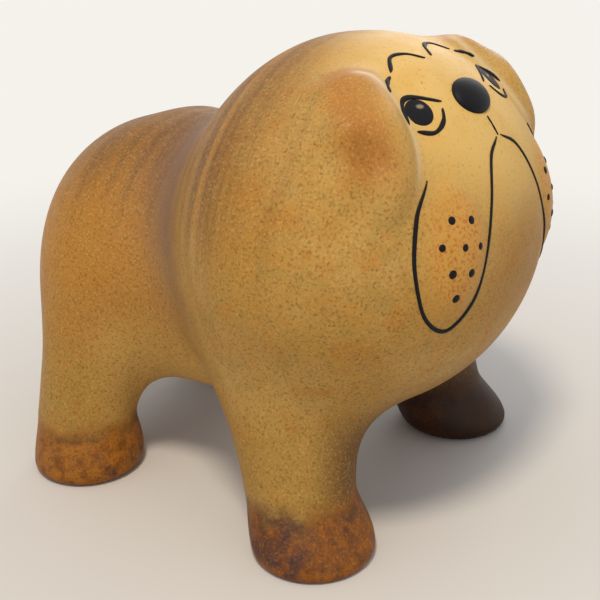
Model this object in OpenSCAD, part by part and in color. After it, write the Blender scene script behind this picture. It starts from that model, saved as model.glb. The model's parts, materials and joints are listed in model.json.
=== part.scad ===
// Stoneware bulldog figurine: hollow clay pieces luted together, with the face drawn in black slip.
// Millimetres. +X is the way the dog faces, +Y its left, +Z up; the soles stand on Z = 0.

/* [Overall] */
// Length from the rump to the front of the face
length = 147; // [138:1:160]
// Thickness of the clay wall
wall = 5; // [4:0.5:6]

/* [Head and chest ball] */
// Height of the ball's centre above the table
ball_z = 77; // [74:1:81]
// Length of the ball, nape to face
ball_length = 90; // [86:1:96]
// Width of the ball, side to side
ball_width = 114; // [108:1:120]
// Height of the ball, chest to crown
ball_height = 96.5; // [92:0.5:102]

/* [Hind body] */
// Length of the barrel, its buried end included
barrel_length = 112; // [106:1:118]
// Height of the barrel's axis above the table
barrel_z = 58.5; // [56:0.5:62]
// Height of the barrel, belly to back
barrel_height = 77; // [72:1:82]
// Width of the barrel across the hips
barrel_width = 82.4; // [78:0.2:88]
// Length of the barrel's rounded ends
rump_reach = 38.5; // [34:0.5:44]
// Radius of the opening that joins the two hollows
neck_r = 22; // [16:1:26]
// Radius of the vent that lets steam out in the kiln
vent_r = 3; // [2:0.5:4]
// Vent ahead of the rump
vent_in = 52; // [46:1:60]

/* [Legs] */
// Half the distance between the front feet
front_half_track = 41.5; // [39:0.5:44]
// Front feet ahead of the ball's centre
front_foot_ahead = 6.5; // [4:0.5:9]
// Half the distance between the hind feet
hind_half_track = 38; // [36:0.5:41]
// Hind feet ahead of the rump
hind_foot_in = 27.7; // [25:0.1:32]
// Radius of a paw at its widest
paw_r = 16; // [15:0.2:18]
// Height of a paw
paw_h = 12; // [10:1:15]
// Paw set forward of its leg
paw_ahead = 2.8; // [1.6:0.2:4]
// Radius of a leg at the ankle
ankle_r = 14; // [13:0.1:15]
// Height of the ankle
ankle_z = 17; // [15:1:22]
// Radius of a front leg where it meets the ball
front_thigh_r = 20.6; // [19:0.2:22]
// Radius of a hind leg where it meets the barrel
hind_thigh_r = 17; // [16:0.2:19]
// Radius of the hollow in a leg
leg_bore_r = 8.5; // [6:0.5:9]
// Thickness of a sole
sole = 7; // [5:0.5:9]

/* [Ears] */
// Length of an ear along its front edge
ear_length = 34.4; // [32:0.2:38]
// Width of an ear, front edge to root
ear_width = 18; // [16:0.5:21]
// Thickness of an ear, its buried half included
ear_thick = 16.8; // [14:0.2:18]
// How far the middle of an ear is sunk below the skin
ear_sink = 3.1; // [2:0.1:4]
// How far the front edge is tipped off the head, in degrees
ear_tip = 13; // [8:1:20]

/* [Muzzle] */
// Length of a jowl
jowl_length = 29; // [26:1:31]
// Width of a jowl
jowl_width = 16; // [14:0.5:17]
// How far a jowl stands out
jowl_out = 2; // [1.4:0.2:2.8]
// Width of the nose
nose_w = 14.4; // [12:0.2:16]
// Height of the nose along the face
nose_h = 10.4; // [9:0.2:12]
// How far the nose stands out
nose_out = 2.2; // [1.6:0.2:3]

/* [Slip drawing] */
// Thickness of the black slip
slip = 0.35; // [0.25:0.05:0.6]
// Width of a full brush line
line_w = 1.3; // [0.9:0.1:1.6]
// Radius of an iris
iris_r = 3.7; // [3:0.1:4]
// Radius of a whisker dot
dot_r = 0.9; // [0.6:0.1:1.2]

/* [Hidden] */

clay = [0.70, 0.50, 0.25];
face_clay = [0.85, 0.66, 0.38];
black_slip = [0.06, 0.06, 0.08];

ball_x = (length - ball_length) / 2;
ball_at = [ball_x, 0, ball_z];
ball_half = [ball_length, ball_width, ball_height] / 2;
rump_x = -length / 2;

// Each leg leans inwards as it rises: [towards the middle, forwards], in degrees
front_lean = [14.3, -13.8];
hind_lean = [10.5, 5.6];
// The legs run up to these heights inside the bodies that they carry
front_leg_top = ball_z;
hind_leg_top = 1.2 * barrel_z;
// The hollows of the legs open into the bodies at these heights
front_bore_top = 0.83 * ball_z;
hind_bore_top = 0.95 * barrel_z;

// Where the features of the right side sit, as [turn to the side, rise] seen from the ball's centre
ear_angles = [-58.8, 37.5];
ear_roll = 16;

// Places on the face, as [y, z] from the ball's centre, seen from the front; the right side's
nose_at = [0, 36.2];
jowl_at = [-26.5, 5];
jowl_roll = -11;
eye_at = [-19.5, 35.9];
upper_lid = [[-24.9, 34.2], [-22.6, 37.1], [-18.4, 38.7], [-11.6, 36.9]];
lower_lid = [[-23.9, 32.5], [-19.9, 31.7], [-15.7, 33.3], [-13, 35.7]];
brow = [[-22.4, 40.4], [-20.2, 41.7], [-16.8, 42.5]];
wrinkle = [[-15.4, 43.1], [-10.2, 45.3], [-5.2, 45.5], [-1.6, 44.2]];
jowl_line = [[-1.2, 27.2], [-7.5, 23.5], [-13, 14], [-17.5, 3], [-21.5, -7.5],
             [-28, -13], [-34.8, -7], [-37, 5], [-34, 16], [-28.5, 23]];
lip_line = [[0, 31.6], [0, 29.4], [0, 27.4]];
// Whisker dots in staggered rows on a jowl, as shares of its half width and half height
dots = [for (row = [0:3], i = [-2:2])
    if ((row + i) % 2 != 0 && abs(i) + row < 4) [0.34 * i, 0.62 - 0.42 * row]];

// Distance from the ball's centre to its skin, in a direction given as [turn, rise]
function direction(seat) = [cos(seat[1]) * cos(seat[0]), cos(seat[1]) * sin(seat[0]), sin(seat[1])];
function over_half(v) = [v[0] / ball_half[0], v[1] / ball_half[1], v[2] / ball_half[2]];
function reach(seat) = 1 / norm(over_half(direction(seat)));

// The point of the ball's face seen at [y, z], lifted off the skin
function face_x(q) = ball_half[0] * sqrt(1 - pow(q[0] / ball_half[1], 2) - pow(q[1] / ball_half[2], 2));
function unit(v) = v / norm(v);
function face_normal(q) = unit(over_half(over_half([face_x(q), q[0], q[1]])));
function on_face(q, lift) = ball_at + [face_x(q), q[0], q[1]] + lift * face_normal(q);

// Slip and pads lie this close to the skin, and a pad's rim is this thick
skin = 0.05;
edge = 0.2;

// A smooth curve through hand-placed points, with rounds steps between each two
rounds = 5;
function at(points, i) = points[max(0, min(len(points) - 1, i))];
function bend(a, b, c, d, t) =
    0.5 * (2 * b + (c - a) * t + (2 * a - 5 * b + 4 * c - d) * t * t + (3 * b - a - 3 * c + d) * t * t * t);
function curve(points) =
    [for (i = [0:len(points) - 2], k = [0:rounds - 1])
        bend(at(points, i - 1), at(points, i), at(points, i + 1), at(points, i + 2), k / rounds),
     points[len(points) - 1]];

module at_seat(seat, out) {
    translate(ball_at)
        rotate([0, -seat[1], seat[0]])
            translate([reach(seat) + out, 0, 0])
                children();
}
module left_side() mirror([0, 1, 0]) children();
module at_face(q, lift) {
    normal = face_normal(q);
    translate(on_face(q, lift))
        rotate([0, acos(normal[2]), atan2(normal[1], normal[0])])
            children();
}

// A low swelling on the face: an oval dome whose underside follows the skin
nose_half = [nose_w, nose_h * 0.66] / 2;
jowl_half = [jowl_width, jowl_length] / 2;
function swelling_point(middle, half, roll, share) =
    middle + [half[0] * share[0] * cos(roll) - half[1] * share[1] * sin(roll),
              half[0] * share[0] * sin(roll) + half[1] * share[1] * cos(roll)];
function swelling_top(share, out, power) = skin + edge + out * pow(max(0, 1 - share * share), power);
function spokes(around, rings) =
    concat([[0, 0]],
           [for (k = [1:rings], i = [0:around - 1])
               sin(90 * k / rings) * [cos(360 * i / around), sin(360 * i / around)]]);
module swelling(middle, half, roll, out, power) {
    shares = spokes(36, 8);
    spots = [for (share = shares) swelling_point(middle, half, roll, share)];
    between([for (i = [0:len(spots) - 1]) on_face(spots[i], swelling_top(shares[i], out, power))],
            [for (spot = spots) on_face(spot, skin)], 36, 8);
}

// The solid between two round grids of points, each a middle point and rings around it
module between(top, under, around, rings) {
    n = len(top);
    function spot(k, i) = 1 + (k - 1) * around + i % around;
    fan = [for (i = [0:around - 1]) [0, spot(1, i + 1), spot(1, i)]];
    bands = [for (i = [0:around - 1], k = [1:1:rings - 1])
        each [[spot(k, i), spot(k, i + 1), spot(k + 1, i + 1)],
              [spot(k, i), spot(k + 1, i + 1), spot(k + 1, i)]]];
    lid = concat(fan, bands);
    base = [for (f = lid) [f[2] + n, f[1] + n, f[0] + n]];
    rim = [for (i = [0:around - 1])
        let (a = spot(rings, i), b = spot(rings, i + 1))
        each [[a, b, b + n], [a, b + n, a + n]]];
    polyhedron(concat(top, under), concat(lid, base, rim));
}

// A brush line on the face, thinner at its ends
module brush_line(points) {
    path = curve(points);
    n = len(path) - 1;
    ring = [for (i = [0:n])
        let (normal = face_normal(path[i]),
             along = on_face(at(path, i + 1), 0) - on_face(at(path, i - 1), 0),
             side = unit(cross(normal, along)) * line_w / 2 * (0.5 + 0.5 * sin(180 * i / n)),
             low = on_face(path[i], skin),
             high = on_face(path[i], skin + slip))
        each [low - side, low + side, high + side, high - side]];
    sides = [for (i = [0:n - 1], k = [0:3])
        let (a = 4 * i + k, b = 4 * i + (k + 1) % 4)
        each [[a, b + 4, b], [a, a + 4, b + 4]]];
    ends = [[0, 1, 2], [0, 2, 3], [4 * n + 2, 4 * n + 1, 4 * n], [4 * n + 3, 4 * n + 2, 4 * n]];
    polyhedron(ring, concat(sides, ends));
}

// The ball, shrunk by a wall for its hollow
module ball(grow = 0) {
    high = ball_half[2] + grow;
    translate(ball_at)
        scale([(ball_half[0] + grow) / high, (ball_half[1] + grow) / high, 1])
            sphere(r = high, $fn = 256);
}

// The barrel of the hind body, rounded at both ends and a little wider than it is high
module barrel(grow = 0) {
    steps = 12;
    half = barrel_length / 2;
    high = barrel_height / 2 + grow;
    wide = barrel_width / 2 + grow;
    outline = [for (i = [0:2 * steps])
        let (t = 90 * (i - steps) / steps, end = (half - rump_reach) * sign(i - steps))
        each i == steps
            ? [[high, rump_reach - half], [high, half - rump_reach]]
            : [[max(0, high * cos(t)), end + (rump_reach + grow) * sin(t)]]];
    translate([rump_x + half, 0, barrel_z])
        scale([1, wide / high, 1])
            rotate([0, 90, 0])
                rotate_extrude($fn = 96)
                    polygon(outline);
}

module front_foot_place() translate([ball_x + front_foot_ahead, -front_half_track, 0]) children();
module hind_foot_place() translate([rump_x + hind_foot_in, -hind_half_track, 0]) children();
module lean_in(lean) rotate([-lean[0], lean[1], 0]) children();

// One leg with its paw, standing at the origin: the paw is a low round cushion,
// and the leg widens above the ankle by these shares of the thigh, at these shares of its height,
// up to the thigh and its rounded top
leg_swell = [[0.13, 0.33], [0.4, 0.44], [0.76, 0.54]];
thigh_share = 0.64;
module leg_body(lean, thigh_r, top_z) {
    translate([paw_ahead, 0, 0])
        rotate_extrude($fn = 72)
            polygon([[0, 0], [0.84 * paw_r, 0], [0.95 * paw_r, 0.13 * paw_h], [paw_r, 0.34 * paw_h],
                     [0.97 * paw_r, 0.52 * paw_h], [0.9 * paw_r, 0.72 * paw_h],
                     [0.82 * paw_r, 0.88 * paw_h], [0.7 * paw_r, paw_h], [0, paw_h]]);
    lean_in(lean)
        rotate_extrude($fn = 72)
            polygon([[0, sole], [0.72 * ankle_r, sole], [0.97 * ankle_r, 1.4 * sole],
                     [1.04 * ankle_r, 1.9 * sole], [ankle_r, 1.15 * ankle_z],
                     for (step = leg_swell) [ankle_r + (thigh_r - ankle_r) * step[0], step[1] * top_z],
                     for (t = [0:15:75])
                         [thigh_r * cos(t), (thigh_share + (1 - thigh_share) * sin(t)) * top_z],
                     [0, top_z]]);
}
module leg_bore(lean, from_z, to_z) {
    lean_in(lean)
        translate([0, 0, from_z])
            cylinder(r = leg_bore_r, h = to_z - from_z, $fn = 64);
}

module head_chest_shell() {
    color(clay) difference() {
        ball();
        ball(-wall);
        translate([ball_x - ball_half[0] - wall, 0, barrel_z])
            rotate([0, 90, 0])
                cylinder(r = neck_r, h = ball_half[0], $fn = 96);
        front_foot_place() leg_bore(front_lean, sole, front_bore_top);
        left_side() front_foot_place() leg_bore(front_lean, sole, front_bore_top);
    }
}

module hind_body_shell() {
    color(clay) difference() {
        barrel();
        barrel(-wall);
        ball();
        hind_foot_place() leg_bore(hind_lean, sole, hind_bore_top);
        left_side() hind_foot_place() leg_bore(hind_lean, sole, hind_bore_top);
        translate([rump_x + vent_in, 0, 0]) cylinder(r = vent_r, h = barrel_z, $fn = 48);
    }
}

module front_leg() {
    color(clay) difference() {
        front_foot_place() leg_body(front_lean, front_thigh_r, front_leg_top);
        front_foot_place() leg_bore(front_lean, sole, front_leg_top);
        ball();
        barrel();
    }
}

module hind_leg() {
    color(clay) difference() {
        hind_foot_place() leg_body(hind_lean, hind_thigh_r, hind_leg_top);
        hind_foot_place() leg_bore(hind_lean, sole, hind_bore_top);
        barrel();
    }
}

// A folded ear: its root is sunk in the head and its front edge stands off
module ear() {
    color(clay) difference() {
        at_seat(ear_angles, -ear_sink)
            rotate([ear_roll, 0, 0])
                rotate([0, 0, -ear_tip])
                    scale([ear_thick / ear_length, ear_width / ear_length, 1])
                        sphere(d = ear_length, $fn = 96);
        ball();
    }
}

module nose() {
    color(black_slip) swelling(nose_at, nose_half, 0, nose_out, 0.5);
}

module jowl() {
    color(face_clay) swelling(jowl_at, jowl_half, jowl_roll, jowl_out, 1);
}

module eye() {
    color(black_slip) {
        brush_line(upper_lid);
        brush_line(lower_lid);
        at_face(eye_at, skin)
            cylinder(r = iris_r, h = slip, $fn = 48);
    }
}

module brow_lines() {
    color(black_slip) {
        brush_line(brow);
        brush_line(wrinkle);
        left_side() brush_line(brow);
        left_side() brush_line(wrinkle);
    }
}

// Each dot lies on the swelling of its jowl
module whisker_dots() {
    color(black_slip)
        for (middle = dots) {
            shares = [for (spoke = spokes(16, 1))
                middle + dot_r * [spoke[0] / jowl_half[0], spoke[1] / jowl_half[1]]];
            spots = [for (share = shares) swelling_point(jowl_at, jowl_half, jowl_roll, share)];
            lifts = [for (share = shares) swelling_top(share, jowl_out, 1) + skin];
            between([for (i = [0:16]) on_face(spots[i], lifts[i] + slip)],
                    [for (i = [0:16]) on_face(spots[i], lifts[i])], 16, 1);
        }
}

module front_leg_right() front_leg();
module front_leg_left() left_side() front_leg();
module hind_leg_right() hind_leg();
module hind_leg_left() left_side() hind_leg();
module ear_right() ear();
module ear_left() left_side() ear();
module jowl_right() jowl();
module jowl_left() left_side() jowl();
module eye_right() eye();
module eye_left() left_side() eye();
module jowl_line_right() {
    color(black_slip) {
        brush_line(jowl_line);
        brush_line(lip_line);
    }
}
module jowl_line_left() color(black_slip) left_side() brush_line(jowl_line);
module whisker_dots_right() whisker_dots();
module whisker_dots_left() left_side() whisker_dots();

head_chest_shell();
hind_body_shell();
front_leg_right();
front_leg_left();
hind_leg_right();
hind_leg_left();
ear_right();
ear_left();
jowl_right();
jowl_left();
nose();
eye_right();
eye_left();
brow_lines();
jowl_line_right();
jowl_line_left();
whisker_dots_right();
whisker_dots_left();
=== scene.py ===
import json
import math

import bmesh
import bpy
import numpy as np
from mathutils import Matrix, Quaternion, Vector


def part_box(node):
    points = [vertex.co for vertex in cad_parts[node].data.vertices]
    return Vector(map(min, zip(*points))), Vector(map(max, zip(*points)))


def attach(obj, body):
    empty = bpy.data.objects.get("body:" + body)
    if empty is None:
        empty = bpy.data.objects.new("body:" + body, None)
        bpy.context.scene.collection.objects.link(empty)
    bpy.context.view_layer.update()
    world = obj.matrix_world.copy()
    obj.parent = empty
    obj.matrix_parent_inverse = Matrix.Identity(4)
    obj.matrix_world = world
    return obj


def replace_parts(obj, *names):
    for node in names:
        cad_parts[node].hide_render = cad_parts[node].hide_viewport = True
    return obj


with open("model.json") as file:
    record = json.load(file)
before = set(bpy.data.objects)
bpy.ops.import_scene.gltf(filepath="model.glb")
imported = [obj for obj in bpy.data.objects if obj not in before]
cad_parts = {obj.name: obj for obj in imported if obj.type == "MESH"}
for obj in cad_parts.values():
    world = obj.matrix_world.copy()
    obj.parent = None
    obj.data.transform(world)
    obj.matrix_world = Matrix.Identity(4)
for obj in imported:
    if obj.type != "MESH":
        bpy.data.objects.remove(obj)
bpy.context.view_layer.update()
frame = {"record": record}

scene = bpy.context.scene

# Camera: it stands ahead of the dog's right shoulder, higher than its head, tilted by about a degree.
# Lengths in this file are in millimetres, the unit of the clay shapes, and MM takes them to metres.
MM = 0.001
camera_at = Vector((176.08, -257.91, 181.44)) * MM
camera_looks = Vector((-0.50172, 0.76911, -0.39592))
camera_roll = math.radians(-1.035)
lens = bpy.data.cameras.new("studio_camera")
lens.sensor_width = 36
lens.lens = 71.2
camera = bpy.data.objects.new("studio_camera", lens)
camera.rotation_mode = "QUATERNION"
camera.location = camera_at
camera.rotation_quaternion = camera_looks.to_track_quat("-Z", "Y") @ Quaternion((0, 0, 1), camera_roll)
scene.collection.objects.link(camera)
scene.camera = camera


# Head and chest: one slip-cast stoneware egg, blunt at the face and drawn out at the nape. Two low jowls
# swell out of its front. Each clay shape here is a function that gives the distance of points to its skin.
def box_in_mm(node):
    low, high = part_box(node)
    return np.array(low) / MM, np.array(high) / MM


def ease(start, full, value):
    """0 up to start, 1 from full on and a smooth rise between. Full may lie below start."""
    share = np.clip((value - start) / (full - start), 0, 1)
    return share * share * (3 - 2 * share)


ball_low, ball_high = box_in_mm("head_chest_shell")
face_middle = (ball_low + ball_high) / 2
ball_drop = 0.5
side_inset = 0.2
crown_inset = 0.15
ball_middle = face_middle - (0, 0, ball_drop)
ball_half_width = (ball_high[1] - ball_low[1]) / 2 - side_inset
crown_rise = ball_high[2] - ball_middle[2] - crown_inset
# The egg goes deeper at the chest than at the chin. The change takes this length either way of its middle.
chest_drop = 50.0
chin_drop = 48.0
drop_change = 30.0
face_tilt = math.radians(6.5)
face_reach = ball_high[0] - ball_middle[0]
nape_reach = 47.7
nape_start = 6.0
# The power of the round in front and behind: 2 is an ellipse, and less is more pointed.
face_bluntness = 2.05
nape_bluntness = 1.67
# Nothing is divided by less than this at the middle of the egg.
least_size = 0.05
# The right jowl's middle, across and up from the middle of the face, and its half width and height.
jowl_middle = (-26.5, 5.5)
jowl_half = (9.4, 17.0)
jowl_roll = math.radians(-11)
jowl_out = 1.9
jowl_soft = 0.012


def jowl_swell(points):
    across = -np.abs(points[:, 1]) - jowl_middle[0]
    up = points[:, 2] - face_middle[2] - jowl_middle[1]
    side = (across * math.cos(jowl_roll) + up * math.sin(jowl_roll)) / jowl_half[0]
    rise = (up * math.cos(jowl_roll) - across * math.sin(jowl_roll)) / jowl_half[1]
    dome = 1 - side * side - rise * rise
    in_front = points[:, 0] > face_middle[0]
    return 0.5 * (dome + np.sqrt(dome * dome + jowl_soft)) * in_front


def plain_ball(points):
    from_middle = points - ball_middle
    ahead = from_middle[:, 0] * math.cos(face_tilt) + from_middle[:, 2] * math.sin(face_tilt)
    up = from_middle[:, 2] * math.cos(face_tilt) - from_middle[:, 0] * math.sin(face_tilt)
    drop = chest_drop + (chin_drop - chest_drop) * ease(-drop_change, drop_change, ahead)
    around = np.hypot(from_middle[:, 1] / ball_half_width, up / np.where(up > 0, crown_rise, drop))
    back = np.hypot(ahead, nape_start) - nape_start
    back_reach = math.hypot(nape_reach, nape_start) - nape_start
    in_front = ahead > 0
    bluntness = np.where(in_front, face_bluntness, nape_bluntness)
    along = np.where(in_front, ahead / face_reach, back / back_reach)
    size = (np.abs(along) ** bluntness + around ** bluntness) ** (1 / bluntness)
    return np.linalg.norm(from_middle, axis=1) * (1 - 1 / np.maximum(size, least_size))


def ball(points):
    return plain_ball(points) - jowl_out * jowl_swell(points)


# Hind body: a thrown stoneware barrel with a round rump, luted into the back of the egg. It rises to the
# egg by two or three degrees, and its back swells a little behind the shoulder.
rump_low, rump_high = box_in_mm("hind_body_shell")
barrel_r = (rump_high[2] - rump_low[2]) / 2
barrel_drop = 0.7
barrel_rear = np.array([rump_low[0] + barrel_r, 0, (rump_low[2] + rump_high[2]) / 2 - barrel_drop])
barrel_line = np.array([40, 0, 1.7])
back_swell = 1.4
swell_starts = (-46, -32)
swell_ends = (-14, -28)
swell_heights = (88, 97)


def barrel(points):
    from_rear = points - barrel_rear
    share = np.clip(from_rear @ barrel_line / (barrel_line @ barrel_line), 0, 1)
    swell = back_swell * ease(*swell_starts, points[:, 0]) * ease(*swell_ends, points[:, 0])
    swell = swell * ease(*swell_heights, points[:, 2])
    return np.linalg.norm(from_rear - share[:, None] * barrel_line, axis=1) - barrel_r - swell


# Legs: four tapered stoneware posts that lean in under the body, each on a low paw set a little forward.
# They are luted to the egg and the barrel, and the joins are sponged smooth. The sizes here and further on
# are those of the right side, and the left one mirrors its shape.
sides = (("right", 1), ("left", -1))
feet = {mount["name"]: np.array(mount["pos_m"]) / MM for mount in frame["record"]["mounts"]}
# Each right leg: its foot, how far ahead and inwards it leans by the height where it meets the body, that
# height, and its radii.
leg_kinds = {
    "front": {"foot": feet["sole_front_right"], "lean": (-11.8, 12.6), "meets": 48.0,
              "thigh_r": 18.2, "ankle_r": 14.4, "paw_r": 16.2},
    "hind": {"foot": feet["sole_hind_right"], "lean": (4.9, 9.3), "meets": 50.0,
             "thigh_r": 15.0, "ankle_r": 14.2, "paw_r": 15.8},
}
paw_ahead = 2.8
# Heights in every leg: the top of the paw, how far up the paw and its toe are full, where the ankle starts
# to widen, how far below and above the meeting with the body the thigh is full, and over what height it
# then rounds off.
paw_h = 15.2
paw_full_h = 4.0
toe_full_h = 2.0
ankle_h = 12.0
thigh_gap = 4.0
thigh_top = 30.0
# The rim of the sole is rounded by this much, a little short of a whole quarter circle.
sole_round = 3.2
sole_turn = 0.96


def leg(points, kind):
    height = np.clip(points[:, 2], 0, None)
    share = height / kind["meets"]
    toe = ease(paw_h + toe_full_h, toe_full_h, height)
    middle_x = kind["foot"][0] - paw_ahead + kind["lean"][0] * share + paw_ahead * toe
    middle_y = kind["foot"][1] + kind["lean"][1] * share
    over_top = np.clip((height - kind["meets"] - thigh_gap) / thigh_top, 0, None) * kind["thigh_r"]
    thigh = ease(ankle_h, kind["meets"] - thigh_gap, height)
    paw = ease(paw_h, paw_full_h, height)
    radius = kind["ankle_r"] + (kind["thigh_r"] - kind["ankle_r"]) * thigh
    radius = radius + (kind["paw_r"] - kind["ankle_r"]) * paw
    round_over = np.clip(1 - height / sole_round, 0, 1)
    radius = radius - sole_round * (1 - np.sqrt(1 - sole_turn * round_over * round_over))
    return np.hypot(np.hypot(points[:, 0] - middle_x, points[:, 1] - middle_y), over_top) - radius


# Ears: two folded pats of clay pressed on the sides of the head. Each is a mound with a knuckle, blended
# into the head behind and below, and ends in a small step along its front edge.
ear_turn = math.radians(-58.8)
ear_rise = math.radians(37.5)
ear_roll = math.radians(16)
ear_tip = math.radians(12)
ear_half = np.array([17.0, 9.8, 8.4])
ear_out = -3.0
ear_lift = 0.5
# Each fold of an ear: how far it rises, its place along and across the ear and its reach both ways.
ear_folds = {
    "knuckle": (2.6, (3.0, -3.0), (5.0, 5.5)),
    "dent_under_knuckle": (-2.2, (-5.5, 1.0), (6.0, 5.0)),
    "flat_lower_end": (-1.0, (-14.0, -3.0), (5.0, 7.0)),
    "sunk_top": (-1.6, (12.5, 1.0), (6.0, 9.0)),
}
ear_outwards = np.array([math.cos(ear_rise) * math.cos(ear_turn), math.cos(ear_rise) * math.sin(ear_turn),
                         math.sin(ear_rise)])
ear_forwards = np.array([-math.sin(ear_turn), math.cos(ear_turn), 0])
ear_upwards = np.cross(ear_outwards, ear_forwards)
ear_along = ear_upwards * math.cos(ear_roll) - ear_forwards * math.sin(ear_roll)
ear_across = ear_forwards * math.cos(ear_roll) + ear_upwards * math.sin(ear_roll)
tipped_across = ear_across * math.cos(ear_tip) + ear_outwards * math.sin(ear_tip)
tipped_out = ear_outwards * math.cos(ear_tip) - ear_across * math.sin(ear_tip)


def skin_under_ear(inside=20.0, outside=80.0, halvings=40):
    """The point of the egg's skin straight under the ear, between these distances from the egg's middle."""
    for _ in range(halvings):
        middle = (inside + outside) / 2
        if plain_ball((ball_middle + ear_outwards * middle)[None])[0] > 0:
            outside = middle
        else:
            inside = middle
    return ball_middle + ear_outwards * inside


ear_root = skin_under_ear()
ear_middle = ear_root + ear_outwards * ear_out + ear_along * ear_lift


def ear_places(points):
    from_middle = points - ear_middle
    return np.stack([from_middle @ ear_along, from_middle @ tipped_across, from_middle @ tipped_out], 1)


def ear(points):
    along, across, out = ear_places(points).T
    folded = out
    for rise, (at_along, at_across), (reach_along, reach_across) in ear_folds.values():
        off = ((along - at_along) / reach_along) ** 2 + ((across - at_across) / reach_across) ** 2
        folded = folded - rise * np.exp(-off)
    places = np.stack([along, across, folded], 1) / ear_half
    size = np.linalg.norm(places, axis=1)
    slope_length = np.linalg.norm(places / ear_half, axis=1)
    return size * (size - 1) / np.maximum(slope_length, 1e-6)


# Joining: the pieces are stuck together with slip and every join is sponged to a soft hollow, so the glaze
# runs over one skin. That skin is remeshed from rough shapes, then settled on the joined distance. The clay
# goes on a little under the soles, so that they can be cut clean and flat.
# The widths of the joins: low and high on the shoulder, at the legs, and before and behind the ears.
shoulder_joins = (12.0, 13.0)
shoulder_heights = (55, 90)
leg_join = 14.1
ear_joins = (3.4, 10.5)
ear_join_change = 6.0
ear_join_lean = 0.6
spare_clay = 4.0
rough_inset = 1.0
rough_ear_r = 10.0
coarse_voxel = 1.6
fine_voxel = 1.0
spongings = 2
cut_gap = 1e-5


def sponged(first, second, width):
    near = np.clip(1 - np.abs(first - second) / width, 0, 1)
    return np.minimum(first, second) - near * near * width / 4


def to_right(points):
    """The same points, with those of the left side mirrored to the right, where the shapes are."""
    return np.stack([points[:, 0], -np.abs(points[:, 1]), points[:, 2]], 1)


def clay(points):
    right = to_right(points)
    at_top = ease(*shoulder_heights, points[:, 2])
    shoulder_join = shoulder_joins[0] + (shoulder_joins[1] - shoulder_joins[0]) * at_top
    skin = sponged(ball(points), barrel(points), shoulder_join)
    for kind in leg_kinds.values():
        skin = sponged(skin, leg(right, kind), leg_join)
    along_ear, across_ear, _ = ear_places(right).T
    behind_ear = ease(-ear_join_change, ear_join_change, ear_join_lean * along_ear - across_ear)
    skin = sponged(skin, ear(right), ear_joins[0] + (ear_joins[1] - ear_joins[0]) * behind_ear)
    return np.maximum(skin, -spare_clay - points[:, 2])


def slope(points, reach=0.05):
    rises = [clay(points + step) - clay(points - step) for step in np.eye(3) * reach]
    return np.stack(rises, 1) / (2 * reach)


def outwards(points):
    normals = slope(points)
    return normals / np.maximum(np.linalg.norm(normals, axis=1, keepdims=True), 1e-9)


def settled(points, rounds=5, least_slope=0.3, longest_step=3):
    """The points moved onto the skin along its slope."""
    for _ in range(rounds):
        normals = slope(points)
        steepness = np.maximum((normals * normals).sum(1), least_slope)
        steps = np.clip(clay(points) / steepness, -longest_step, longest_step)
        points = points - steps[:, None] * normals
    return points


def rough_shapes():
    shapes = bmesh.new()

    def rough_sphere(middle, half):
        place = Matrix.Translation(Vector(middle)) @ Matrix.Diagonal((*half, 1))
        bmesh.ops.create_uvsphere(shapes, u_segments=48, v_segments=32, radius=1, matrix=place)

    def rough_post(start, end, start_r, end_r, segments):
        stand = (end - start).to_track_quat("Z", "Y").to_matrix().to_4x4()
        place = Matrix.Translation((start + end) / 2) @ stand
        bmesh.ops.create_cone(shapes, cap_ends=True, segments=segments, radius1=start_r, radius2=end_r,
                              depth=(end - start).length, matrix=place)

    rough_sphere(ball_middle, ((face_reach + nape_reach) / 2, ball_half_width, crown_rise))
    rough_sphere(barrel_rear, (barrel_r, barrel_r, barrel_r))
    rough_post(Vector(barrel_rear), Vector(barrel_rear + barrel_line), barrel_r, barrel_r, segments=64)
    for kind in leg_kinds.values():
        for _, mirrored in sides:
            foot = Vector((kind["foot"][0], kind["foot"][1] * mirrored, -spare_clay))
            top = foot + Vector((kind["lean"][0], kind["lean"][1] * mirrored, kind["meets"] + spare_clay))
            rough_post(foot, top, kind["paw_r"] - rough_inset, kind["thigh_r"] - rough_inset, segments=48)
    for _, mirrored in sides:
        rough_sphere(ear_middle * (1, mirrored, 1), (rough_ear_r, rough_ear_r, rough_ear_r))
    return shapes


def remeshed(shapes, voxel):
    mesh = bpy.data.meshes.new("rough_clay")
    bmesh.ops.scale(shapes, vec=(MM, MM, MM), verts=shapes.verts)
    shapes.to_mesh(mesh)
    shapes.free()
    lump = bpy.data.objects.new("rough_clay", mesh)
    scene.collection.objects.link(lump)
    voxels = lump.modifiers.new("voxels", "REMESH")
    voxels.mode = "VOXEL"
    voxels.voxel_size = voxel * MM
    even = bpy.data.meshes.new_from_object(lump.evaluated_get(bpy.context.evaluated_depsgraph_get()))
    bpy.data.objects.remove(lump)
    bpy.data.meshes.remove(mesh)
    skin = bmesh.new()
    skin.from_mesh(even)
    bpy.data.meshes.remove(even)
    bmesh.ops.scale(skin, vec=(1 / MM, 1 / MM, 1 / MM), verts=skin.verts)
    return skin


def settle(skin):
    places = settled(np.array([vert.co for vert in skin.verts]))
    for vert, place in zip(skin.verts, places):
        vert.co = place


def sponge(skin):
    bmesh.ops.smooth_vert(skin, verts=skin.verts, factor=0.5,
                          use_axis_x=True, use_axis_y=True, use_axis_z=True)


skin = remeshed(rough_shapes(), coarse_voxel)
for _ in range(spongings):
    settle(skin)
    sponge(skin)
settle(skin)
skin = remeshed(skin, fine_voxel)
for _ in range(spongings):
    sponge(skin)
    settle(skin)
bmesh.ops.bisect_plane(skin, geom=[*skin.verts, *skin.edges, *skin.faces], dist=cut_gap,
                       plane_co=(0, 0, 0), plane_no=(0, 0, 1), clear_inner=True)


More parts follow.
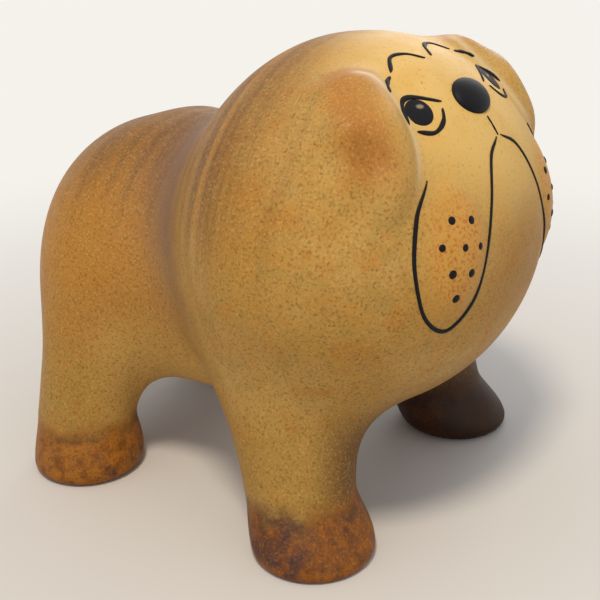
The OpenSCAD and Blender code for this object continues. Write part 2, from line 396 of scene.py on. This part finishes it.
# Glaze: a satin stoneware glaze, sprayed on and fired. It breaks from honey to orange-brown where it is
# thin, is pale on the face and rust-brown over the dipped paws. Under the belly it is pale from thin glaze
# and from painted light. Painted shade with a painted lilac-grey sheen darkens the shoulder hollow, and
# painted shade darkens the lower legs, the inner sides of the front legs and the far front foot.
def linear(hex_colour):
    """An sRGB hex colour as linear red, green, blue and an alpha of 1."""
    shares = [int(hex_colour[i:i + 2], 16) / 255 for i in (1, 3, 5)]
    light = [share / 12.92 if share <= 0.04045 else ((share + 0.055) / 1.055) ** 2.4 for share in shares]
    return (*light, 1)


def add_node(tree, kind, inputs=None, **settings):
    made = tree.nodes.new(kind)
    for key, value in settings.items():
        setattr(made, key, value)
    for socket, value in (inputs or {}).items():
        if isinstance(value, bpy.types.NodeSocket):
            tree.links.new(value, made.inputs[socket])
        else:
            made.inputs[socket].default_value = value
    return made


# The bounds of the places that are glazed differently or painted with shade or light: where each starts
# and where it is full. Heights, lengths and distances are in millimetres, angles off an axis through the egg
# in degrees, and how far the skin faces one way is a share of straight on.
brow_axis = np.array([0.60, 0, 0.80])
pale_angles = (54, 18)
lost_on_ear = 0.6
chin_axis = np.array([0.99, 0, -0.12])
chin_angles = (30, 8)
head_off_skin = (8, 2)
jowl_strength = 1.5
ear_reach = 24
ear_off_skin = (0.3, 1.4)
ear_flush_across = ((-9, 0), (9, 4))
ear_flush_along = (-15, -4)
# Pale rim along each ear's front edge: glaze breaking thin there, with a painted highlight.
ear_rim_highlight_half = 1.1
ear_rim_highlight_across = (1, 4)
ear_rim_highlight_along = (-15, -6)
# Painted shade with a painted lilac-grey sheen along the shoulder hollow: its half widths and heights.
hollow_half = {"on_egg": 7, "on_barrel": 10}
hollow_heights = (36, 84)
barrel_from_egg = (-4, 10)
barrel_heights = (20, 60)
barrel_top_heights = (78, 97)
back_heights = (66, 104)
back_ends = (48, 12)
# Under the belly: a paler thin glaze, lightened further as painted light where the underside is lit.
belly_from_egg = (0, 10)
belly_starts = (-38, -24)
belly_heights = (58, 38)
# Low on the legs: an olive-brown glaze, darkened further as painted shade under the body.
leg_shade_heights = (58, 24)
fore_legs = (0, 10)
left_legs = (14, 28)
inwards = np.array([0.75, -0.66])
# Inner sides of the front legs: a darker brown glaze, deepened as painted shade between the legs.
inner_leg_shade_faces = (-0.1, 0.75)
# Far front foot and leg: a darker glaze, deepened as painted shade under the chest.
far_foot_shade_heights = (34, 12)
paw_heights = (20, 12)
toe_faces = (0.25, 0.85)
outer_paw_ahead = 0.2
outer_paw_faces = (0.6, 0.98)


def angle_off(points, axis):
    from_middle = points - ball_middle
    share = from_middle @ axis / np.linalg.norm(from_middle, axis=1)
    return np.degrees(np.arccos(np.clip(share, -1, 1)))


def glaze_marks(points, normals):
    """How much each point belongs to each differently glazed place, or place of painted shade or light, from
    0 to 1.
    """
    ahead, left, height = points.T
    right = to_right(points)
    off_egg = plain_ball(points)
    near_ear = np.linalg.norm(right - ear_root, axis=1) < ear_reach
    on_ear = ease(*ear_off_skin, off_egg) * near_ear
    on_head = ease(*head_off_skin, off_egg * ~near_ear)
    along_ear, across_ear, _ = ear_places(right).T
    ear_flush = ease(*ear_flush_across[0], across_ear) * ease(*ear_flush_across[1], across_ear)
    ear_rim_thin_glaze_and_highlight = np.exp(-((ear(right) - ball(points)) / ear_rim_highlight_half) ** 2) * near_ear
    behind = ball(points) - barrel(points)
    hollow = behind / np.where(behind > 0, hollow_half["on_barrel"], hollow_half["on_egg"])
    on_barrel = ease(*barrel_from_egg, behind)
    leg_glaze_and_shade = ease(*leg_shade_heights, height)
    on_paw = ease(*paw_heights, height)
    fore = ease(*fore_legs, ahead)
    turned_in = normals[:, 0] * inwards[0] + normals[:, 1] * np.sign(left) * inwards[1]
    turned_out = outer_paw_ahead * normals[:, 0] + np.abs(normals[:, 1])
    return {
        "pale": ease(*pale_angles, angle_off(points, brow_axis)) * on_head * (1 - lost_on_ear * on_ear),
        "chin": ease(*chin_angles, angle_off(points, chin_axis)) * on_head,
        "jowl": np.clip(jowl_strength * jowl_swell(points), 0, 1),
        "ear": on_ear * ear_flush * ease(*ear_flush_along, along_ear),
        # pale ear rim: thin glaze and a painted highlight
        "ear_rim_thin_glaze_and_highlight": ear_rim_thin_glaze_and_highlight * ease(*ear_rim_highlight_across, across_ear) * ease(*ear_rim_highlight_along, along_ear),
        # painted shade and painted sheen in the shoulder hollow
        "hollow": np.exp(-hollow ** 2) * ease(*hollow_heights, height),
        "barrel": on_barrel * ease(*barrel_heights, height),
        "barrel_top": on_barrel * ease(*barrel_top_heights, height),
        "back": ease(*back_heights, height) * ease(*back_ends, ahead),
        # pale thin glaze under the belly, partly painted light
        "belly": ease(*belly_from_egg, behind) * ease(*belly_starts, ahead) * ease(*belly_heights, height),
        # olive-brown glaze low on the legs, partly painted shade under the body
        "leg": leg_glaze_and_shade,
        # darker brown on the front legs' inner sides, partly painted shade
        "inner_leg_glaze_and_shade": leg_glaze_and_shade * ease(*inner_leg_shade_faces, turned_in) * fore,
        # far front foot: darker glaze and painted shade
        "far_foot_glaze_and_shade": fore * ease(*left_legs, left) * ease(*far_foot_shade_heights, height),
        "toe": on_paw * fore * ease(*toe_faces, normals[:, 0]),
        "outer_paw": on_paw * fore * ease(*outer_paw_faces, turned_out),
        "hind_paw": on_paw * (1 - fore),
    }


# Each grain of the glaze: the size of its blotches in millimetres, its detail and its stretch. The specks
# are drawn twice as coarse as the real grit, which would be too fine to show.
even = (1, 1, 1)
ringed = (1, 0.03, 0.03)
glaze_grains = {
    "cloud": (24, 2, even),
    "bloom": (8, 3, even),
    "olive": (5, 3, even),
    "dark_speck": (0.72, 3, even),
    "rust_speck": (0.9, 3, even),
    "light_speck": (0.66, 2, even),
    "wheel_ring": (3.4, 4, ringed),
    "freckle": (0.8, 2, even),
    "mottle": (6.0, 5, even),
    "rust_mottle": (3.2, 5, even),
    "ragged": (7, 4, even),
    "shine": (6, 2, even),
}
grain_step = 0.13
grain_start = (0.31, 0.07)
# Each coat over the honey ground: its colour, how strong it gets, the place that it belongs to, and the
# grain that breaks it, with where on that grain it starts and where it is full. A whole coat has no breaks.
honey = "#bb924a"
whole = ("cloud", 0.00, 0.10)
glaze_coats = [
    ("#b48638", 1.00, None, ("cloud", 0.35, 0.65)),
    ("#a7853e", 0.80, None, ("olive", 0.45, 0.75)),
    ("#b57826", 0.60, None, ("bloom", 0.50, 0.75)),
    ("#a87124", 0.80, "barrel", whole),
    # olive-brown glaze low on the legs, darkened as painted shade under the body
    ("#936e2a", 0.60, "leg", whole),
    # pale thin glaze under the belly, lightened further as painted light
    ("#cda052", 0.75, "belly", whole),
    # darker brown on the front legs' inner sides: glaze deepened as painted shade
    ("#54330c", 0.85, "inner_leg_glaze_and_shade", whole),
    ("#764c1a", 0.70, "back", whole),
    ("#5c3a1c", 0.60, "back", ("wheel_ring", 0.46, 0.66)),
    ("#c08024", 0.38, "back", ("wheel_ring", 0.50, 0.30)),
    ("#5c4026", 0.50, "barrel_top", whole),
    ("#9c5606", 0.80, "ear", ("bloom", 0.00, 0.45)),
    ("#664414", 0.66, None, ("dark_speck", 0.46, 0.76)),
    ("#b56622", 0.45, None, ("rust_speck", 0.50, 0.78)),
    ("#d8ae66", 0.32, None, ("light_speck", 0.48, 0.78)),
    # painted shade with a painted lilac-grey sheen in the shoulder hollow
    ("#70564a", 0.75, "hollow", whole),
    ("#d6ae62", 1.00, "pale", whole),
    ("#cfa04e", 0.60, "pale", ("bloom", 0.45, 0.70)),
    ("#b3702c", 0.80, "pale", ("freckle", 0.60, 0.76)),
    ("#9a6410", 0.50, "chin", whole),
    ("#c8923f", 0.80, "jowl", whole),
    ("#b05c18", 0.80, "jowl", ("freckle", 0.46, 0.70)),
    # pale ear rim: glaze breaking thin at the edge, with a painted highlight
    ("#d9c29a", 0.60, "ear_rim_thin_glaze_and_highlight", whole),
    ("#6e3c0a", 1.00, "paw", ("mottle", 0.00, 0.10)),
    ("#96540c", 0.80, "paw", ("rust_mottle", 0.44, 0.70)),
    ("#332224", 0.70, "paw", ("mottle", 0.44, 0.66)),
    ("#93560e", 0.50, "toe", ("rust_mottle", 0.20, 0.60)),
    ("#33252c", 0.50, "outer_paw", ("mottle", 0.34, 0.56)),
    ("#a06418", 0.70, "hind_paw", ("rust_mottle", 0.25, 0.60)),
    ("#9c580c", 0.70, "paw_hem", ("rust_mottle", 0.30, 0.55)),
    ("#3a2210", 0.60, "paw", ("dark_speck", 0.46, 0.76)),
    ("#b87c34", 0.32, "paw", ("light_speck", 0.48, 0.78)),
    ("#3d2517", 0.70, "dip_line", ("ragged", 0.40, 0.70)),
    # far front foot: darker glaze deepened as painted shade under the chest
    ("#200c00", 0.92, "far_foot_glaze_and_shade", whole),
]
# The paws were dipped to this height, give or take the ragged edge, and the dip thins out over their hem.
dip_height = 14.0
dip_ragged = 5.0
dip_soft = 4.2
dip_line_half = 2.2
paw_hem = (1.0, 4.5)
ragged_bounds = (0.25, 0.75)
# A satin surface: how rough it is where it shines most and least, and the fine pits of the specks.
satin = (0.46, 0.58)
shine_bounds = (0.3, 0.7)
pit_depth = 0.3
pit_strength = 0.12


def stoneware_glaze():
    """Feldspar glaze over iron-bearing stoneware: the eye reads fine iron specks in a satin honey coat."""
    glaze = bpy.data.materials.new("speckled_stoneware_glaze")
    glaze.use_nodes = True
    tree = glaze.node_tree
    coat = tree.nodes["Principled BSDF"]
    place = add_node(tree, "ShaderNodeTexCoord").outputs["Object"]
    grains = {}
    for key, (size, detail, stretch) in glaze_grains.items():
        shift = (grain_step * len(grains), *grain_start)
        at = add_node(tree, "ShaderNodeMapping", {"Vector": place, "Scale": stretch, "Location": shift})
        noise = add_node(tree, "ShaderNodeTexNoise",
                         {"Vector": at.outputs[0], "Scale": 1 / (size * MM), "Detail": detail})
        grains[key] = noise.outputs["Fac"]

    height = add_node(tree, "ShaderNodeSeparateXYZ", {0: place}).outputs["Z"]
    ragged = add_node(tree, "ShaderNodeMapRange",
                      {"Value": grains["ragged"], "From Min": ragged_bounds[0], "From Max": ragged_bounds[1],
                       "To Min": -dip_ragged / 2 * MM, "To Max": dip_ragged / 2 * MM}).outputs["Result"]
    dipped = add_node(tree, "ShaderNodeMath", {0: height, 1: ragged}, operation="ADD").outputs[0]
    over_line = add_node(tree, "ShaderNodeMath", {0: dipped, 1: dip_height * MM}, operation="SUBTRACT")
    off_line = add_node(tree, "ShaderNodeMath", {0: over_line.outputs[0]}, operation="ABSOLUTE").outputs[0]
    places = {}
    for spot, value, full, end in (("paw", dipped, dip_height - dip_soft, dip_height + dip_soft),
                                   ("dip_line", off_line, 0, dip_line_half),
                                   ("paw_hem", height, *paw_hem)):
        bounds = {"Value": value, "From Min": full * MM, "From Max": end * MM, "To Min": 1, "To Max": 0}
        fade = add_node(tree, "ShaderNodeMapRange", bounds, interpolation_type="SMOOTHSTEP")
        places[spot] = fade.outputs["Result"]

    colour = linear(honey)
    for hex_colour, strength, spot, (grain, start, full) in glaze_coats:
        bounds = {"Value": grains[grain], "From Min": start, "From Max": full, "To Max": strength}
        broken = add_node(tree, "ShaderNodeMapRange", bounds, interpolation_type="SMOOTHSTEP")
        amount = broken.outputs["Result"]
        if spot and spot not in places:
            places[spot] = add_node(tree, "ShaderNodeAttribute", attribute_name=spot).outputs["Fac"]
        if spot:
            both = {0: amount, 1: places[spot]}
            amount = add_node(tree, "ShaderNodeMath", both, operation="MULTIPLY").outputs[0]
        mixed = {0: amount, 6: colour, 7: linear(hex_colour)}
        colour = add_node(tree, "ShaderNodeMix", mixed, data_type="RGBA").outputs[2]
    tree.links.new(colour, coat.inputs["Base Color"])
    rough = add_node(tree, "ShaderNodeMapRange",
                     {"Value": grains["shine"], "From Min": shine_bounds[0], "From Max": shine_bounds[1],
                      "To Min": satin[0], "To Max": satin[1]})
    tree.links.new(rough.outputs["Result"], coat.inputs["Roughness"])
    pits = add_node(tree, "ShaderNodeBump",
                    {"Height": grains["dark_speck"], "Strength": pit_strength, "Distance": pit_depth * MM})
    tree.links.new(pits.outputs[0], coat.inputs["Normal"])
    coat.inputs["IOR"].default_value = 1.5
    coat.inputs["Specular IOR Level"].default_value = 0.25
    return glaze


honey_glaze = stoneware_glaze()


# Pieces: the legs, the ears and the two shells are parted again where they were luted together. Each is
# closed with a flat face there and keeps the normals of the whole skin, so that the glaze runs on over the
# join.
cut_reach = 62.0
# A point of the plane that parts each right leg from the body, and the way that plane faces.
leg_cuts = {
    "front": (np.array([31.5, -37.0, 33.0]), np.array([0.10, -0.60, -0.79])),
    "hind": (np.array([-42.0, -31.5, 30.0]), np.array([-0.06, -0.50, -0.86])),
}
in_paw = (0, 0, 4)
ear_cut = 0.4
in_ear = 6.0
shoulder_at = Vector((-17, 0, 98))
shoulder_faces = Vector((74, 0, 31)).normalized()


def lift_off(skin, at, facing, near):
    """Takes the part of the skin round near away, as far as a plane through at, and returns it."""
    facing = Vector(facing).normalized()
    at = Vector(at)
    near = Vector(near)
    close = [vert for vert in skin.verts if (vert.co - near).length < cut_reach]
    around = {face for vert in close for face in vert.link_faces}
    edges = {edge for face in around for edge in face.edges}
    verts = {vert for face in around for vert in face.verts}
    cut = bmesh.ops.bisect_plane(skin, geom=[*verts, *edges, *around], dist=cut_gap,
                                 plane_co=at, plane_no=facing)
    line = {edge for edge in cut["geom_cut"] if isinstance(edge, bmesh.types.BMEdge)}
    start = min((face for face in skin.faces if (face.calc_center_median() - at).dot(facing) > 0),
                key=lambda face: (face.calc_center_median() - near).length)
    part = {start}
    to_visit = [start]
    while to_visit:
        uncut = [edge for edge in to_visit.pop().edges if edge not in line]
        found = {face for edge in uncut for face in edge.link_faces} - part
        part |= found
        to_visit += found
    skin.faces.index_update()
    kept = {face.index for face in part}
    piece = skin.copy()
    piece.faces.ensure_lookup_table()
    bmesh.ops.delete(piece, geom=[face for face in piece.faces if face.index not in kept], context="FACES")
    bmesh.ops.delete(skin, geom=list(part), context="FACES")
    return piece


def close_up(piece):
    for face in piece.faces:
        face.smooth = True
    open_edges = [edge for edge in piece.edges if edge.is_boundary]
    for lid in bmesh.ops.holes_fill(piece, edges=open_edges, sides=0)["faces"]:
        lid.smooth = False
    bmesh.ops.recalc_face_normals(piece, faces=piece.faces)


def finished(name, mesh, material):
    made = bpy.data.objects.new(name, mesh)
    scene.collection.objects.link(made)
    mesh.materials.append(material)
    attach(made, "root")
    return made


def clay_object(name, piece):
    close_up(piece)
    mesh = bpy.data.meshes.new(name)
    piece.to_mesh(mesh)
    piece.free()
    places = np.empty(len(mesh.vertices) * 3)
    mesh.vertices.foreach_get("co", places)
    places = places.reshape(-1, 3)
    normals = outwards(places)
    for key, values in glaze_marks(places, normals).items():
        mesh.attributes.new(key, "FLOAT", "POINT").data.foreach_set("value", values.astype(np.float32))
    mesh.vertices.foreach_set("co", (places * MM).ravel())
    corners = np.empty(len(mesh.loops), np.int32)
    mesh.loops.foreach_get("vertex_index", corners)
    corner_normals = normals[corners]
    for lid in mesh.polygons:
        if not lid.use_smooth:
            corner_normals[lid.loop_start:lid.loop_start + lid.loop_total] = lid.normal
    mesh.normals_split_custom_set(corner_normals.tolist())
    return finished(name, mesh, honey_glaze)


for end, (at, facing) in leg_cuts.items():
    for side, mirrored in sides:
        flip = np.array([1, mirrored, 1])
        piece = lift_off(skin, at * flip, facing * flip, leg_kinds[end]["foot"] * flip + in_paw)
        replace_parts(clay_object(f"glazed_{end}_leg_{side}", piece), f"{end}_leg_{side}")
for side, mirrored in sides:
    flip = np.array([1, mirrored, 1])
    piece = lift_off(skin, (ear_root + ear_outwards * ear_cut) * flip, ear_outwards * flip,
                     (ear_root + ear_outwards * in_ear) * flip)
    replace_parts(clay_object(f"glazed_ear_{side}", piece), f"ear_{side}")
front = skin.copy()
for half, facing in ((front, -shoulder_faces), (skin, shoulder_faces)):
    bmesh.ops.bisect_plane(half, geom=[*half.verts, *half.edges, *half.faces], dist=cut_gap,
                           plane_co=shoulder_at, plane_no=facing, clear_outer=True)
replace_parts(clay_object("glazed_head_and_chest", front), "head_chest_shell", "jowl_right", "jowl_left")
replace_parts(clay_object("glazed_hind_body", skin), "hind_body_shell")


# Nose: a low oval button of clay, pressed on the face under the brow. It is painted with matt black slip
# that fires to a blue-black.
nose_at = (0.0, 36.2)
nose_half = (7.2, 5.2)
nose_out = 2.2
nose_sink = 0.4
slip_grain = 0.5
brush_depth = 0.1
brush_strength = 0.2


def face_point(across, up, ahead=6.0, rounds=90, stride=0.8):
    """Points of the skin at these distances from the middle of the face, reached from ahead of the dog."""
    points = np.stack([np.full(len(across), ball_high[0] + ahead), across, face_middle[2] + up], 1)
    for _ in range(rounds):
        points[:, 0] -= stride * clay(points)
    return points


def black_stoneware_slip():
    """Matt iron and cobalt slip: a dry blue-black with a faint brush grain, and glaze where it is bare."""
    slip = bpy.data.materials.new("black_brushed_slip")
    slip.use_nodes = True
    tree = slip.node_tree
    coat = tree.nodes["Principled BSDF"]
    place = add_node(tree, "ShaderNodeTexCoord").outputs["Object"]
    noise = add_node(tree, "ShaderNodeTexNoise",
                     {"Vector": place, "Scale": 1 / (slip_grain * MM), "Detail": 3})
    grain = noise.outputs["Fac"]
    blacks = {0: grain, 6: linear("#08080c"), 7: linear("#15131a")}
    black = add_node(tree, "ShaderNodeMix", blacks, data_type="RGBA")
    bare = add_node(tree, "ShaderNodeAttribute", attribute_name="bare").outputs["Fac"]
    mixed = {0: bare, 6: black.outputs[2], 7: linear("#8a7a64")}
    colour = add_node(tree, "ShaderNodeMix", mixed, data_type="RGBA")
    tree.links.new(colour.outputs[2], coat.inputs["Base Color"])
    bump = add_node(tree, "ShaderNodeBump",
                    {"Height": grain, "Strength": brush_strength, "Distance": brush_depth * MM})
    tree.links.new(bump.outputs[0], coat.inputs["Normal"])
    coat.inputs["Roughness"].default_value = 0.55
    coat.inputs["IOR"].default_value = 1.5
    coat.inputs["Specular IOR Level"].default_value = 0.16
    return slip


black_slip = black_stoneware_slip()


def slip_object(name, painted):
    mesh = bpy.data.meshes.new(name)
    bmesh.ops.recalc_face_normals(painted, faces=painted.faces)
    for face in painted.faces:
        face.smooth = True
    bmesh.ops.scale(painted, vec=(MM, MM, MM), verts=painted.verts)
    painted.to_mesh(mesh)
    painted.free()
    return finished(name, mesh, black_slip)


def add_button(painted, at, half, out, segments, sink=0.25):
    """A low dome on the skin. Returns its vertices and their places on a round button of radius 1."""
    dome = bmesh.ops.create_uvsphere(painted, u_segments=segments, v_segments=segments // 2, radius=1)
    button = dome["verts"]
    shape = np.array([vert.co for vert in button])
    middle = face_point(np.array([at[0]]), np.array([at[1]]))
    normal = outwards(middle)[0]
    right = np.cross((0, 0, 1), normal)
    right /= np.linalg.norm(right)
    upward = np.cross(normal, right)
    places = settled(middle + shape[:, :1] * half[0] * right + shape[:, 1:2] * half[1] * upward)
    lifts = np.where(shape[:, 2] > 0, shape[:, 2] * out, shape[:, 2] * sink)
    for vert, spot in zip(button, places + outwards(places) * lifts[:, None]):
        vert.co = spot
    return button, shape


nose = bmesh.new()
add_button(nose, nose_at, nose_half, nose_out, segments=48, sink=nose_sink)
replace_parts(slip_object("slip_nose", nose), "nose")


# Brush lines: the face is drawn in the same black slip with a loaded brush, one stroke at a time. The lines
# are about a millimetre wide, stand a little off the glaze and thin out where the brush lands and lifts.
line_w = 1.3
lip_w = 0.7
slip_h = 0.3
edge_thinning = 0.6
stroke_depth = 0.5
stroke_rows = 5
steps_per_span = 16
least_half_width = 0.05
# How the brush presses: how late it thins at the ends, and how much and how often it changes on the way.
press_end = 6
press_change = 0.14
press_waves = 7
# Each right stroke, as points across and up from the middle of the face.
brow = [(-22.4, 40.4), (-20.2, 41.7), (-16.8, 42.5)]
wrinkle = [(-15.4, 43.1), (-10.2, 45.3), (-5.2, 45.5), (-1.6, 44.2)]
jowl_line = [(-1.2, 27.2), (-7.5, 23.5), (-13.0, 14.0), (-17.5, 3.0), (-21.5, -7.5), (-28.0, -13.0),
             (-34.8, -7.0), (-37.0, 5.0), (-34.0, 16.0), (-28.5, 23.0)]
lip_line = [(0.0, 31.6), (0.0, 29.4), (0.0, 27.4)]


def curve_points(points, count):
    """This many points on a smooth curve through the given ones."""
    points = np.array(points, float)
    ends = np.concatenate([2 * points[:1] - points[1:2], points, 2 * points[-1:] - points[-2:-1]])
    share = np.linspace(0, len(points) - 1, count)
    first = np.minimum(share.astype(int), len(points) - 2)
    t = (share - first)[:, None]
    a, b, c, d = (ends[first + i] for i in range(4))
    bend = (2 * a - 5 * b + 4 * c - d) * t ** 2
    turn = (3 * b - a - 3 * c + d) * t ** 3
    return 0.5 * (2 * b + (c - a) * t + bend + turn)


def add_stroke(painted, points, mirrored=1, width=line_w, wander=0.0):
    """A raised stroke through these points of the face, on the right for 1 and on the left for -1."""
    count = steps_per_span * (len(points) - 1) + 1
    drawn = curve_points(points, count) * (mirrored, 1)
    path = face_point(drawn[:, 0], drawn[:, 1])
    sideways = np.cross(outwards(path), np.gradient(path, axis=0))
    sideways /= np.linalg.norm(sideways, axis=1, keepdims=True)
    share = np.linspace(-1, 1, count)
    press = np.sqrt(np.clip(1 - np.abs(share) ** press_end, 0, 1))
    press = press * (1 - press_change + press_change * np.sin(press_waves * share + wander))
    half_width = np.maximum(width / 2 * press, least_half_width)
    grid = bmesh.ops.create_grid(painted, x_segments=count - 1, y_segments=stroke_rows - 1, size=1)["verts"]
    shape = np.array([vert.co for vert in grid])
    step = np.rint((shape[:, 0] + 1) / 2 * (count - 1)).astype(int)
    across = shape[:, 1] * half_width[step]
    places = settled(path[step] + across[:, None] * sideways[step])
    lifts = slip_h * (1 - edge_thinning * shape[:, 1] ** 2)
    for vert, spot in zip(grid, places + outwards(places) * lifts[:, None]):
        vert.co = spot
    faces = list({face for vert in grid for face in vert.link_faces})
    bmesh.ops.recalc_face_normals(painted, faces=faces)
    bmesh.ops.solidify(painted, geom=faces, thickness=stroke_depth)


brows = bmesh.new()
for side, mirrored in sides:
    add_stroke(brows, brow, mirrored)
    add_stroke(brows, wrinkle, mirrored, wander=1.0)
    outline = bmesh.new()
    add_stroke(outline, jowl_line, mirrored, wander=2.0)
    if side == "right":
        add_stroke(outline, lip_line, width=lip_w)
    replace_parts(slip_object(f"slip_jowl_line_{side}", outline), f"jowl_line_{side}")
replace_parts(slip_object("slip_brow_lines", brows), "brow_lines")


# Eyes: two brushed lids around a round iris, filled in with the same slip. A small spot at the top of the
# iris is left bare, and the pale glaze shows in it.
upper_lid = [(-24.9, 34.2), (-22.6, 37.1), (-18.4, 38.7), (-11.6, 36.9)]
upper_lid_w = 1.5
lower_lid = [(-23.9, 32.5), (-19.9, 31.7), (-15.7, 33.3), (-13.0, 35.7)]
iris_at = (-19.5, 35.9)
iris_half = (3.7, 3.7)
iris_out = 0.33
# The bare spot, in shares of the iris: its middle, its half width and height, and how its edge fades.
bare_at = (0.20, 0.34)
bare_half = (0.30, 0.17)
bare_edge = (1.2, 0.6)
for side, mirrored in sides:
    eye = bmesh.new()
    add_stroke(eye, upper_lid, mirrored, width=upper_lid_w)
    add_stroke(eye, lower_lid, mirrored)
    bare = eye.verts.layers.float.new("bare")
    iris, shape = add_button(eye, (iris_at[0] * mirrored, iris_at[1]), iris_half, iris_out, segments=64)
    across = (shape[:, 0] * mirrored - bare_at[0]) / bare_half[0]
    up = (shape[:, 1] - bare_at[1]) / bare_half[1]
    on_top = shape[:, 2] > 0
    for vert, share in zip(iris, ease(*bare_edge, np.hypot(across, up)) * on_top):
        vert[bare] = share
    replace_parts(slip_object(f"slip_eye_{side}", eye), f"eye_{side}")


# Whisker dots: staggered rows of dabs on each jowl, put on with the tip of the brush. They are the same
# slip as the lines, and each dries as a low dome.
dot_r = 1.0
# The dots differ in size by this share, in waves down the rows and along each row.
dot_change = 0.12
dot_waves = (5, 3)
dot_rows = 4
most_aside = 2
# The right pad that the dots lie on, across and up from the middle of the face, and the steps between dots
# and rows as shares of its half width and height.
pad_middle = (-26.5, 5.0)
pad_half = (8.0, 14.5)
dot_steps = (0.34, 0.42)
top_row = 0.62
for side, mirrored in sides:
    dots = bmesh.new()
    for row in range(dot_rows):
        for place in range(-most_aside, most_aside + 1):
            if (row + place) % 2 == 0 or abs(place) + row >= dot_rows:
                continue
            across = dot_steps[0] * place * pad_half[0]
            up = (top_row - dot_steps[1] * row) * pad_half[1]
            at = (pad_middle[0] + across * math.cos(jowl_roll) - up * math.sin(jowl_roll),
                  pad_middle[1] + across * math.sin(jowl_roll) + up * math.cos(jowl_roll))
            size = dot_r * (1 + dot_change * math.sin(dot_waves[0] * row + dot_waves[1] * place))
            add_button(dots, (at[0] * mirrored, at[1]), (size, size), slip_h, segments=16)
    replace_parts(slip_object(f"slip_whisker_dots_{side}", dots), f"whisker_dots_{side}")


# Floor and light: a flat sheet of pale paper, a small warm key high over the dog's right side, a cool window
# on its left side and a bright white surround. The sizes here are in metres.
paper_near = 0.07
paper_far = 0.32
paper_half = 3
backdrop_white = linear("#f5f2ec")
lights_aim = Vector((0, 0, 0.06))


def seen_rays(tree):
    """1 for the rays that show the backdrop as plain white and 0 for those that light the dog."""
    rays = add_node(tree, "ShaderNodeLightPath")
    seen = rays.outputs["Is Camera Ray"]
    for other in ("Is Glossy Ray", "Is Transmission Ray"):
        either = {0: seen, 1: rays.outputs[other]}
        seen = add_node(tree, "ShaderNodeMath", either, operation="MAXIMUM").outputs[0]
    return seen


def pale_paper():
    """Matt drawing paper: a warm beige under the dog that fades to plain white further out."""
    paper = bpy.data.materials.new("pale_paper")
    paper.use_nodes = True
    tree = paper.node_tree
    coat = tree.nodes["Principled BSDF"]
    coat.inputs["Base Color"].default_value = linear("#cec8c0")
    coat.inputs["Roughness"].default_value = 0.9
    place = add_node(tree, "ShaderNodeTexCoord").outputs["Object"]
    away = add_node(tree, "ShaderNodeVectorMath", {0: place}, operation="LENGTH").outputs["Value"]
    bounds = {"Value": away, "From Min": paper_near, "From Max": paper_far}
    fade = add_node(tree, "ShaderNodeMapRange", bounds, interpolation_type="SMOOTHSTEP").outputs["Result"]
    share = add_node(tree, "ShaderNodeMath", {0: fade, 1: seen_rays(tree)}, operation="MULTIPLY").outputs[0]
    white = add_node(tree, "ShaderNodeEmission", {"Color": backdrop_white, "Strength": 1})
    both = add_node(tree, "ShaderNodeMixShader", {0: share, 1: coat.outputs[0], 2: white.outputs[0]})
    tree.links.new(both.outputs[0], tree.nodes["Material Output"].inputs["Surface"])
    return paper


floor_mesh = bpy.data.meshes.new("paper_floor")
paper_sheet = bmesh.new()
bmesh.ops.create_grid(paper_sheet, x_segments=1, y_segments=1, size=paper_half)
paper_sheet.to_mesh(floor_mesh)
paper_sheet.free()
floor = bpy.data.objects.new("paper_floor", floor_mesh)
scene.collection.objects.link(floor)
floor_mesh.materials.append(pale_paper())


def soft_light(name, at, width, power, colour):
    lamp = bpy.data.lights.new(name, "AREA")
    lamp.shape = "DISK"
    lamp.size = width
    lamp.energy = power
    lamp.color = colour
    made = bpy.data.objects.new(name, lamp)
    made.location = at
    made.rotation_mode = "QUATERNION"
    made.rotation_quaternion = (lights_aim - Vector(at)).to_track_quat("-Z", "Y")
    scene.collection.objects.link(made)


soft_light("key_light", at=(0.16, -0.41, 0.93), width=0.20, power=6.0, colour=(1.0, 0.91, 0.77))
soft_light("window_light", at=(-0.28, 1.09, 0.44), width=0.70, power=3.4, colour=(0.88, 0.95, 1.0))
world = bpy.data.worlds.new("studio_surround")
world.use_nodes = True
scene.world = world
tree = world.node_tree
surround = tree.nodes["Background"]
surround.inputs["Color"].default_value = linear("#ecf2fc")
surround.inputs["Strength"].default_value = 0.72
white = add_node(tree, "ShaderNodeBackground", {"Color": backdrop_white, "Strength": 1})
both = add_node(tree, "ShaderNodeMixShader",
                {0: seen_rays(tree), 1: surround.outputs[0], 2: white.outputs[0]})
tree.links.new(both.outputs[0], tree.nodes["World Output"].inputs["Surface"])
scene.view_settings.view_transform = "Standard"
